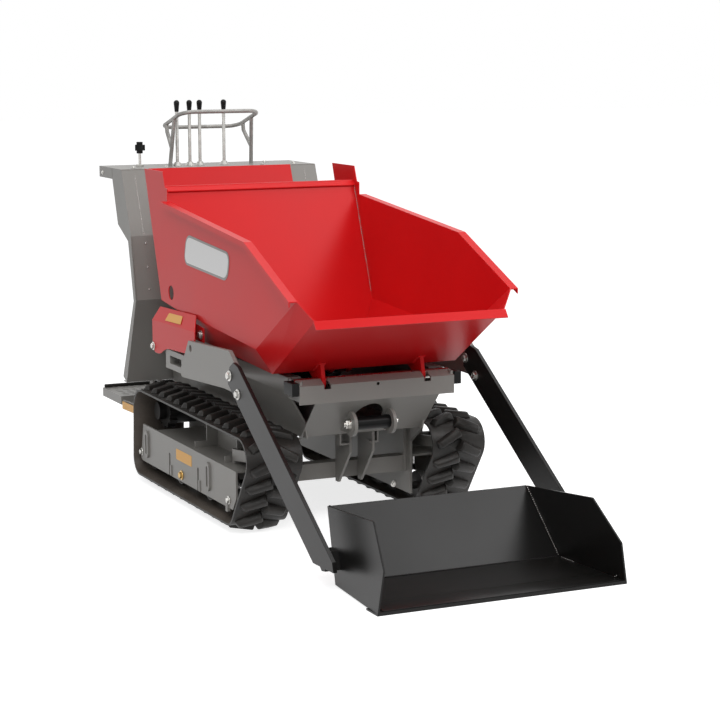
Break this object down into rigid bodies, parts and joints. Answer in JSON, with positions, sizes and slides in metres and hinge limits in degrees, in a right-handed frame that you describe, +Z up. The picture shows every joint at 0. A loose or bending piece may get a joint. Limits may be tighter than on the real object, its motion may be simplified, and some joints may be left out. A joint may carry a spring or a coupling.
{
  "type": "tracked site dumper",
  "caption": "Walk-behind tracked site dumper with a forward-tipping skip, rubber tracks, a lever console, a rear platform and a self-loading front shovel.",
  "frame": {"origin": "on the ground in the middle of the machine's overall length and width, shovel down on the ground", "axes": "+X is the direction of travel, towards the shovel; +Y is the operator's left; +Z is up"},
  "size_m": [2.34, 0.816, 1.27],
  "materials": {
    "red_paint": "gloss red paint",
    "grey_paint": "satin warm grey paint",
    "black_paint": "satin black paint",
    "zinc_steel": "zinc-plated or hard-chromed steel",
    "dark_steel": "black-painted steel castings",
    "engine_black": "dark engine covers",
    "rubber": "dull moulded track rubber"
  },
  "bodies": {
    "chassis": {"chassis_frame": "grey_paint", "front_pin": "zinc_steel", "skip_hinge_shaft": "zinc_steel", "side_cover_right": "red_paint", "side_cover_left": "red_paint", "track_frame_right": "grey_paint", "track_frame_left": "grey_paint", "track_right": "rubber", "track_left": "rubber", "sprocket_right": "dark_steel", "sprocket_left": "dark_steel", "drive_motor_right": "dark_steel", "drive_motor_left": "dark_steel", "idler_right": "dark_steel", "idler_left": "dark_steel", "rollers_right": "dark_steel", "rollers_left": "dark_steel", "console_bulkhead": "grey_paint", "console_top": "grey_paint", "console_panel": "red_paint", "lever_hoop": "zinc_steel", "control_levers": "zinc_steel", "throttle_lever": "zinc_steel", "control_valve": "dark_steel", "engine_block": "engine_black", "engine_starter": "engine_black", "fuel_tank": "red_paint", "muffler": "zinc_steel", "air_cleaner": "engine_black", "oil_tank": "black_paint", "platform_bracket": "grey_paint"},
    "skip": {"skip_shell": "red_paint", "skip_lugs": "red_paint"},
    "shovel": {"lift_shaft": "grey_paint", "lever_right": "grey_paint", "lever_left": "grey_paint", "arm_right": "black_paint", "arm_left": "black_paint", "shovel_pan": "black_paint"},
    "tip_barrel": {"tip_cylinder_barrel": "dark_steel"},
    "tip_rod": {"tip_cylinder_rod": "zinc_steel"},
    "lift_barrel": {"lift_cylinder_barrel": "dark_steel"},
    "lift_rod": {"lift_cylinder_rod": "zinc_steel"},
    "platform": {"platform": "grey_paint"}
  },
  "joints": [
    {"name": "skip_tip", "type": "hinge", "parent": "chassis", "child": "skip", "pos_m": [0.328, 0, 0.476], "axis": [0, 1, 0], "range_deg": [0, 70]},
    {"name": "shovel_lift", "type": "hinge", "parent": "chassis", "child": "shovel", "pos_m": [-0.2, 0, 0.458], "axis": [0, -1, 0], "range_deg": [0, 105]},
    {"name": "platform_fold", "type": "hinge", "parent": "chassis", "child": "platform", "pos_m": [-0.95, 0, 0.229], "axis": [0, 1, 0], "range_deg": [0, 80]},
    {"name": "tip_barrel_swing", "type": "hinge", "parent": "chassis", "child": "tip_barrel", "pos_m": [-0.25, 0, 0.335], "axis": [0, -1, 0], "range_deg": [0, 14]},
    {"name": "tip_rod_slide", "type": "slide", "parent": "tip_barrel", "child": "tip_rod", "axis": [0.9218, 0, 0.3877], "range_m": [0, 0.25]},
    {"name": "lift_barrel_swing", "type": "hinge", "parent": "chassis", "child": "lift_barrel", "pos_m": [-0.61, -0.105, 0.338], "axis": [0, -1, 0], "range_deg": [-2.5, 0]},
    {"name": "lift_rod_slide", "type": "slide", "parent": "lift_barrel", "child": "lift_rod", "axis": [0.9887, 0, 0.1496], "range_m": [0, 0.175]}
  ],
  "couplings": [
    {"joint": "tip_barrel_swing", "follows": "skip_tip", "ratio": 0.19181},
    {"joint": "tip_rod_slide", "follows": "skip_tip", "m_per_rad": 0.20395},
    {"joint": "lift_barrel_swing", "follows": "shovel_lift", "ratio": -0.020129},
    {"joint": "lift_rod_slide", "follows": "shovel_lift", "m_per_rad": 0.094887}
  ]
}
